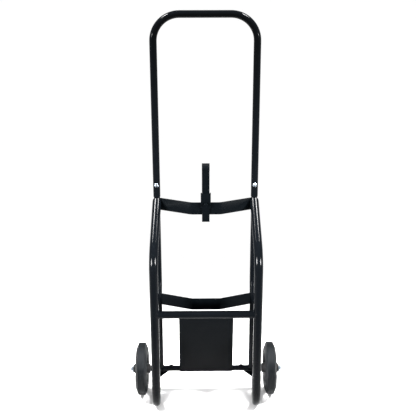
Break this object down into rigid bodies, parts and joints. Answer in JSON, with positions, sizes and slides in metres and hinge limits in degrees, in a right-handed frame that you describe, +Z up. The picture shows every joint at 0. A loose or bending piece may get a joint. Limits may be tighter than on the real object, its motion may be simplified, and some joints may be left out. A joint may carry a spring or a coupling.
{
  "type": "two-wheeled hand truck",
  "caption": "Tubular two-wheeled hand truck with a looped handle, looped front legs, a sloping kick plate and a sliding load hook.",
  "frame": {"origin": "on the floor, below the middle of the whole truck, in its plane of symmetry", "axes": "+X to the truck's left-to-right along the axle, -Y to the loading side where the front legs are, +Z up"},
  "size_m": [0.607, 0.2714, 1.4837],
  "materials": {
    "gloss_black": "gloss powder coat",
    "satin_black": "satin powder coat",
    "tyre_rubber": "matte, dusty",
    "hub_plastic": "moulded, fine grain",
    "bush_plastic": "smooth",
    "zinc": "bright zinc plate"
  },
  "bodies": {
    "frame": {"handle_tube": "gloss_black", "left_side_loop": "gloss_black", "right_side_loop": "gloss_black", "leg_caps": "gloss_black", "axle_beam": "gloss_black", "left_upright": "gloss_black", "right_upright": "gloss_black", "crossbar": "gloss_black", "upper_strap": "satin_black", "lower_strap": "satin_black", "left_gusset": "satin_black", "right_gusset": "satin_black", "kick_plate": "satin_black", "axle": "zinc", "axle_set_screws": "satin_black", "inner_spacers": "satin_black", "outer_washers": "zinc", "cotter_pins": "zinc", "handle_bolts": "zinc", "handle_nuts": "zinc", "hook_keeper": "satin_black", "hook_clamp_bolt": "satin_black"},
    "left_wheel": {"left_tyre": "tyre_rubber", "left_wheel_hub": "hub_plastic", "left_hub_bushes": "bush_plastic"},
    "right_wheel": {"right_tyre": "tyre_rubber", "right_wheel_hub": "hub_plastic", "right_hub_bushes": "bush_plastic"},
    "hook": {"hook_bar": "satin_black"}
  },
  "joints": [
    {"name": "left_wheel_spin", "type": "hinge", "parent": "frame", "child": "left_wheel", "pos_m": [-0.24995, 0.03414, 0.1016], "axis": [1, 0, 0], "continuous": true},
    {"name": "right_wheel_spin", "type": "hinge", "parent": "frame", "child": "right_wheel", "pos_m": [0.24995, 0.03414, 0.1016], "axis": [1, 0, 0], "continuous": true},
    {"name": "hook_slide", "type": "slide", "parent": "frame", "child": "hook", "axis": [0, 0, 1], "range_m": [-0.1, 0.055]}
  ]
}
